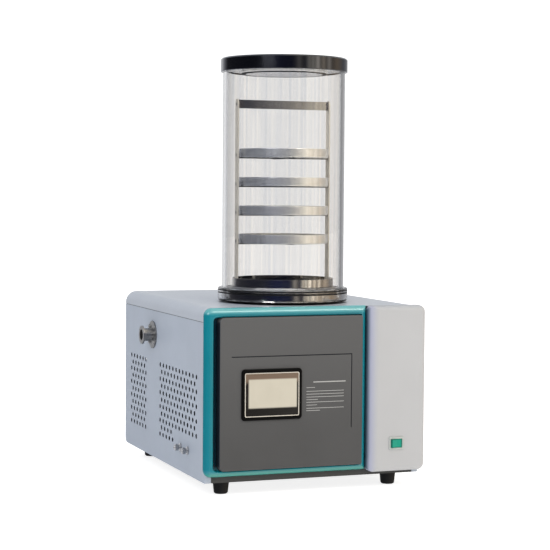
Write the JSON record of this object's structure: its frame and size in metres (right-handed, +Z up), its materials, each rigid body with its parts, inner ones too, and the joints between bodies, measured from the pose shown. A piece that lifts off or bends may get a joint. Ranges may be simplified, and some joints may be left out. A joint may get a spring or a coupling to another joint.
{
  "type": "freeze dryer",
  "caption": "Benchtop freeze dryer: cabinet with cold trap, touch screen, clear bell over a rack of round trays, vacuum port and valves on the left.",
  "frame": {"origin": "middle of the bounding box, on the bench", "axes": "+Z up, -Y out of the front panel, +X to the user's right"},
  "size_m": [0.505, 0.6284, 0.9],
  "materials": {
    "chassis_grey": "satin powder coat",
    "side_paint": "fine powder coat",
    "top_paint": "fine powder coat",
    "teal_bezel": "gloss moulding",
    "panel_grey": "fine texture",
    "column_white": "satin",
    "screen_black": "satin",
    "trim_silver": "bright",
    "screen_face": "gloss",
    "switch_grey": "satin",
    "rocker_green": "gloss",
    "foot_rubber": "matt",
    "steel_fastener": "plain",
    "brushed_steel": "brushed",
    "polished_steel": "polished",
    "clear_acrylic": "polished, clear",
    "cap_black": "polished",
    "copper_tube": "drawn",
    "foam": "foamed",
    "compressor_black": "gloss",
    "fin_aluminium": "plain",
    "fan_black": "matt",
    "board_green": "lacquered",
    "socket_black": "satin"
  },
  "bodies": {
    "root": {"base_pan": "chassis_grey", "left_side_panel": "side_paint", "right_side_panel": "side_paint", "top_cover": "top_paint", "rear_panel": "side_paint", "front_bezel": "teal_bezel", "front_panel": "panel_grey", "column_cover": "column_white", "screen_housing": "screen_black", "screen_trim": "trim_silver", "screen_glass": "screen_face", "switch_frame": "switch_grey", "foot_front_left": "foot_rubber", "foot_front_right": "foot_rubber", "foot_rear_left": "foot_rubber", "foot_rear_right": "foot_rubber", "foot_screws": "steel_fastener", "port_plate": "brushed_steel", "port_nipple": "brushed_steel", "port_screws": "steel_fastener", "vent_valve_body": "polished_steel", "drain_valve_body": "polished_steel", "cold_trap_pot": "brushed_steel", "evaporator_coil": "copper_tube", "trap_insulation": "foam", "base_ring": "foot_rubber", "trap_collar": "polished_steel", "bell_tube": "clear_acrylic", "bell_flange": "clear_acrylic", "bell_seals": "foot_rubber", "cap_ring": "cap_black", "cap_plate": "clear_acrylic", "cap_seal": "foot_rubber", "rack_base_ring": "polished_steel", "rack_post_left": "brushed_steel", "rack_post_right": "brushed_steel", "rack_crossbar": "polished_steel", "rack_screws": "steel_fastener", "tray_support_1": "brushed_steel", "tray_support_2": "brushed_steel", "tray_support_3": "brushed_steel", "tray_support_4": "brushed_steel", "tray_1": "polished_steel", "tray_2": "polished_steel", "tray_3": "polished_steel", "tray_4": "polished_steel", "compressor": "compressor_black", "compressor_mounts": "foot_rubber", "condenser": "fin_aluminium", "fan_shroud": "fan_black", "fan_motor": "compressor_black", "vacuum_pipe": "brushed_steel", "drain_pipe": "brushed_steel", "control_board": "board_green", "power_inlet": "socket_black", "pump_socket": "socket_black"},
    "rocker": {"power_rocker": "rocker_green"},
    "vent_knob": {"vent_valve_knob": "polished_steel"},
    "drain_knob": {"drain_valve_knob": "polished_steel"},
    "fan": {"fan_rotor": "fan_black"}
  },
  "joints": [
    {"name": "rocker_tilt", "type": "hinge", "parent": "root", "child": "rocker", "pos_m": [0.186, -0.30679, 0.096], "axis": [0, 0, 1], "range_deg": [-16, 0]},
    {"name": "vent_turn", "type": "hinge", "parent": "root", "child": "vent_knob", "pos_m": [-0.2305, -0.12279, 0.08], "axis": [-1, 0, 0], "range_deg": [0, 270]},
    {"name": "drain_turn", "type": "hinge", "parent": "root", "child": "drain_knob", "pos_m": [-0.2305, -0.17279, 0.08], "axis": [-1, 0, 0], "range_deg": [0, 270]},
    {"name": "fan_spin", "type": "hinge", "parent": "root", "child": "fan", "pos_m": [0.0815, 0.29971, 0.19], "axis": [0, 1, 0], "continuous": true}
  ]
}
